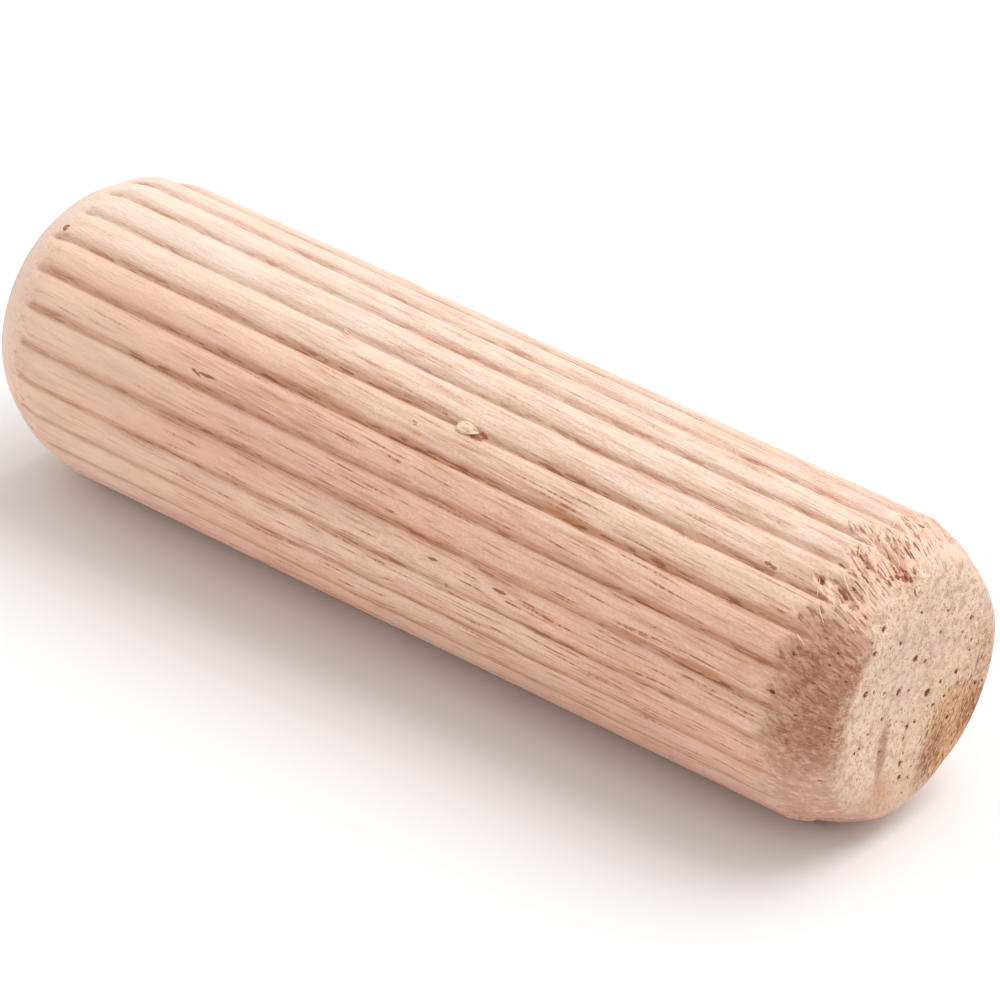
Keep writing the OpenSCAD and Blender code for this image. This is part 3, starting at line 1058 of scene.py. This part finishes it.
# Broad tints of the front face: y and height over the axis, half sizes in mm, share, colour
FACE_TINTS = [
    (1.9, -1.5, (2, 1.7, 2.2), .45, (.78, .56, .36)),
    (-.6, -4.3, (2, 2.2, 1), .35, (.76, .46, .31)),
    (-1.2, 1.6, (2, 1.9, 1.5), .3, (.7, .51, .45)),
    (4.6, -.3, (2, .7, 1.5), .5, (.66, .4, .29)),
]

# Its broken stains, the third of them painted shade along the face's crease: y and height over the axis, half
# sizes in mm, turn, how soft the edge is, two heights of the pattern that breaks it and the share at each,
# colour
FACE_STAINS = [
    (1.5, -3.35, (2, .7, 1.1), -33, .6, (.38, .56, .2, .7), RUST_PATCH),
    (3.8, -2.4, (2, .5, .9), -33, .6, (.38, .56, .2, .7), RUST_PATCH),
    # painted shade along the face's crease
    (-1.76, -1.7, (1, .24, 1.3), -3, .5, (.36, .6, .65, 1), CREASE_SHADE_ROSE),
    (-1.7, -3.5, (1, .75, .7), 0, .8, (.38, .58, .3, .8), RUST_BASE),
    (4.4, -.15, (1, .34, 1.2), 16, .6, (.5, .58, 0, .9), LINE_RUST),
]


def stain_face(f, wood):
    """Lays on the front face its tints, the ragged rusty patch, the broken stains, painted shade along its
    crease and one dark gash.
    """

    def place(y, z, size, turn=0, edge=.5):
        return f.spot((PIN_HALF, y, AXIS_H + z), size, (turn, 0, 0), edge)

    for y, z, size, share, tint in FACE_TINTS:
        wood.coat(tint, place(y, z, size, edge=.9), share)
    broken = f.noise((2, .14, .3), (-33, 0, 0), detail=2, rough=.8)
    patch = place(2.7, -2.6, (2, 1.8, 2), -33, .45)
    patch = f.plus(patch, f.span(broken, .3, .7, -.55, .55, soft=False))
    patch = f.product((patch, .3, .8), (patch, 0, .3))
    wood.coat(RUST_BASE, patch, (broken, .34, .5, .25, 1))
    wood.coat(RUST_PATCH, patch, (broken, .52, .64, 0, .8))
    for y, z, size, turn, edge, thick, tint in FACE_STAINS:
        wood.coat(tint, place(y, z, size, turn, edge), (broken, *thick))
    wood.coat(PIT_RED, place(4, -.5, (1, .06, .32), -8), .6)


def pin_wood():
    """Pale pinkish hardwood, with the long grain on its side and the end grain on its cut ends."""
    f = Finish("dowel wood", .65, .12)
    torn, tear, pit, face = (f.value(name) for name in ("torn", "tear", "pit", "face"))
    x, _, height = f.parts(f.mapped((1, 1, 1)))
    way = f.value("torn_way", "Vector")
    speck = f.noise((.5, .11, .11), detail=2, rough=.75)
    fibre = f.noise((.4, .1, .1), middle=(6, 1, 3), source=way, rough=.7)
    slit = f.noise((.36, .09, .09), middle=(2, 4, 9), source=way, detail=0, bend=.4)
    wood = long_grain(f, x, height)
    end, pore = end_grain(f, speck, height)
    chamfer = torn_grain(f, height, tear, fibre, slit)
    back = f.plus(x, f.span(speck, .3, .7, -.14, .14, soft=False))
    back = f.span(back, -19.92, -19.6, 1, 0)
    # painted light: the back end paler and creamier towards its rim
    wood.coat(BACK_BAND_LIGHT, (x, -19.5, -18, .65, 0))
    # painted shadow: darker chamfer along the lower rim of the front face
    rim_shadow = f.spot(on_pin(19.8, math.radians(256), 5), (.3, 1.3, 1.4), edge=.4)
    chamfer.coat(TORN_SHADE, rim_shadow, .4)
    stain_face(f, end)
    cut = f.span(f.plus(torn, (fibre, .3, .7, -.35, .35)), .35, .75)
    flat_end = f.most(face, back)
    cut = f.most(flat_end, cut)
    wood.coat(f.blend(flat_end, chamfer.colour, end.colour), cut)

    # the front end's rose part and brown part, the brown part brown wood darkened by painted shade among its
    # torn fibres
    smudge = f.noise((.5, .34, .34), source=way, detail=3, rough=.75)
    brown_and_shade, rose = f.value("brown_and_shade"), f.value("rose")
    wood.coat(CHAMFER_ROSE, rose, (smudge, .28, .66, .65, 1))
    wood.coat(CHAMFER_DEEP, rose, (smudge, .46, .7, 0, .55))
    wood.coat(SAP_PALE, rose, (smudge, .52, .3, 0, .45))
    wood.coat(TORN_MAUVE, brown_and_shade, (smudge, .38, .6, .42, 1))
    wood.coat(TORN_TAN, brown_and_shade, (speck, .46, .32, 0, .45))
    wood.coat(PIT_RED, brown_and_shade, (speck, .52, .68, 0, .5))
    wood.coat(PIT_RED, brown_and_shade, (slit, .56, .74), .35)
    wood.coat(PIT_RED, f.most(brown_and_shade, f.product(rose, .6)), pore, .8)

    # rusty streaks, small marks with the painted shadow under the loose flake, cuts, and pits darkened by
    # painted shade
    hair = f.noise((1.2, .1, .1), GRAIN_TURN, (8, 1, 5), rough=.7)
    wood.coat(STREAK_BROWN, f.value("rust"), (hair, .36, .58, .25, 1))
    ragged = f.span(speck, .36, .64, -.45, .45, soft=False)

    def worn_edge(mark):
        return f.plus(mark, f.product(ragged, (mark, 0, .3)))

    # small marks, among them the painted shadow under the loose flake's tip
    wood.coat(MARK_AND_SHADOW_BROWN, (worn_edge(skin_marks(f, SIDE_MARKS)), .2, .9, 0, .9))
    wood.coat(CUT_BROWN, (worn_edge(skin_marks(f, TORN_CUTS)), .1, .85, 0, .95))
    # painted shade: the torn pits and the face's large pores darker inside, deepest in their middles
    hole = worn_edge(pit)
    wood.coat(PIT_RUST, (hole, 0, .45, 0, .8))
    wood.coat(PIT_RED, (hole, .35, .85))

    grainy = f.noise((.36, .08, .08), GRAIN_TURN, rough=.7)
    relief = f.mix(f.most(flat_end, f.product(brown_and_shade, .8)), f.product(fibre, .7), f.product(speck, 1.3))
    relief = f.mix(cut, f.product(grainy, .6), relief)
    return f.finished(wood.colour, relief, .8, .08)


def sliver_wood(name, pale, tan):
    """Pale torn fibres: cream wood with fine tan lines along the pin."""
    f = Finish(name, .7, .25)
    line = f.noise((.6, .06, .06), detail=2, rough=.6)
    return f.finished(f.blend(f.span(line, .46, .66), pale, tan), line, .4, .03)


# ---------------- table, light and the scene
TABLE_R = 1.5
TABLE_WHITE = (.92, .92, .92, 1)


def table_top():
    """A flat round table top of a pale plain white: a fan of triangles about its middle."""
    spokes = 64
    turn = np.linspace(0, 2 * math.pi, spokes, endpoint=False)
    verts = TABLE_R * np.stack([np.cos(turn), np.sin(turn), 0 * turn], 1)
    rim = np.arange(spokes)
    fan = np.stack([np.full(spokes, spokes), rim, np.roll(rim, -1)], 1)
    top = make_mesh("table", np.append(verts, [[0, 0, 0]], 0), np.empty((0, 4), int), fan, {})
    paint = Finish("pale table", .9, 0)
    paint.shader["Base Color"].default_value = TABLE_WHITE
    top.data.materials.append(paint.material)
    return top


WORLD_LIGHT = .725

# The softbox: power, way from the pin, distance and size in metres
LAMP_POWER, LAMP_WAY, LAMP_AWAY, LAMP_SIZE = 1.45, (.22, .38, .9), .5, .44


def add_lights():
    """An even studio sky that the camera sees as white, also in mirrors and glass, and a round softbox."""
    world = bpy.data.worlds.new("studio")
    world.use_nodes = True
    bpy.context.scene.world = world
    tree = world.node_tree
    ground = tree.nodes["Background"].inputs
    ground["Color"].default_value = (1, 1, 1, 1)
    sight = add_node(tree, "LightPath", {}, "Is Camera Ray")
    rays = sight.node.outputs
    for other in ("Is Glossy Ray", "Is Transmission Ray"):
        sight = add_node(tree, "Math", {0: sight, 1: rays[other]}, operation="MAXIMUM")
    strength = add_node(tree, "MapRange", {"Value": sight, "To Min": WORLD_LIGHT, "To Max": 1})
    tree.links.new(strength, ground["Strength"])
    lamp = bpy.data.lights.new("softbox", "AREA")
    lamp.shape = "DISK"
    lamp.size = LAMP_SIZE
    lamp.energy = LAMP_POWER
    box = placed("softbox", lamp)
    way = Vector(LAMP_WAY).normalized()
    box.location = Vector((0, 0, AXIS_H * MM)) + way * LAMP_AWAY
    box.rotation_euler = way.to_track_quat("Z", "Y").to_euler()


def main():
    pin = make_mesh("pin_body", *build_pin())
    pin.data.materials.append(pin_wood())
    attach(pin, "root")
    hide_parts("dowel_pin")
    slivers = np.concatenate([SLIVERS, random_slivers(RANDOM_SLIVERS, 61)])
    torn = make_mesh("torn_slivers", *sliver_bodies(slivers), {})
    torn.data.materials.append(sliver_wood("torn fibre", SLIVER_PALE, SLIVER_TAN))
    flake = make_mesh("loose_flake", *flake_body(), {})
    flake.data.materials.append(sliver_wood("flake wood", FLAKE_PALE, FLAKE_TAN))
    for piece in (torn, flake):
        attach(piece, "root")
    table_top()
    add_lights()
    add_camera()
    bpy.context.scene.view_settings.view_transform = "Standard"


main()
